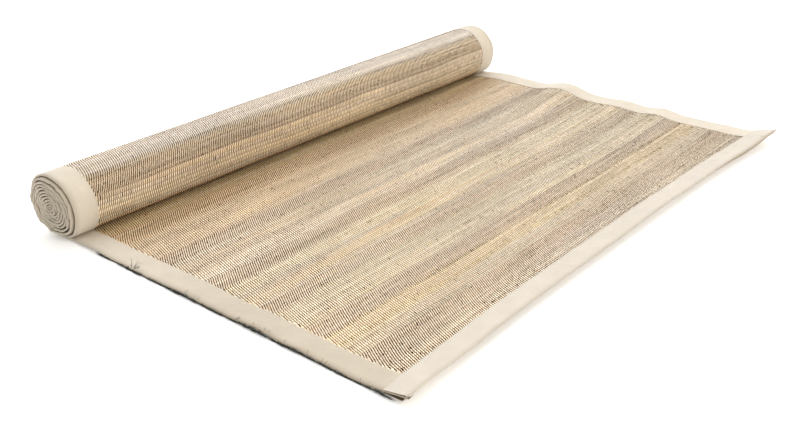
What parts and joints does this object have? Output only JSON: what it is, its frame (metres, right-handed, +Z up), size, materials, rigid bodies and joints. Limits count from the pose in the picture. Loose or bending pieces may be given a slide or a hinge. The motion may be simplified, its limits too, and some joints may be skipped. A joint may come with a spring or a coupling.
{
  "type": "rolled straw yoga mat",
  "caption": "Woven straw mat with a cotton tape binding, part unrolled: a tight roll along one side and a loose length lying flat, its free end curling up a little.",
  "frame": {"origin": "centre of the bounding box at floor level, under the loose length", "axes": "+X along the mat's length from the roll to the free end, +Y across its width from the near long edge to the far one, +Z up"},
  "size_m": [0.4914, 0.7126, 0.0697],
  "materials": {
    "straw": "matt woven straw with dark cotton warp threads, in bands of fine grey-brown and coarse cream and yellow",
    "cotton_tape": "matt cream cotton tape in a fine plain weave"
  },
  "bodies": {
    "root": {"straw_field": "straw", "binding_near": "cotton_tape", "binding_far": "cotton_tape", "binding_end": "cotton_tape"}
  },
  "joints": []
}
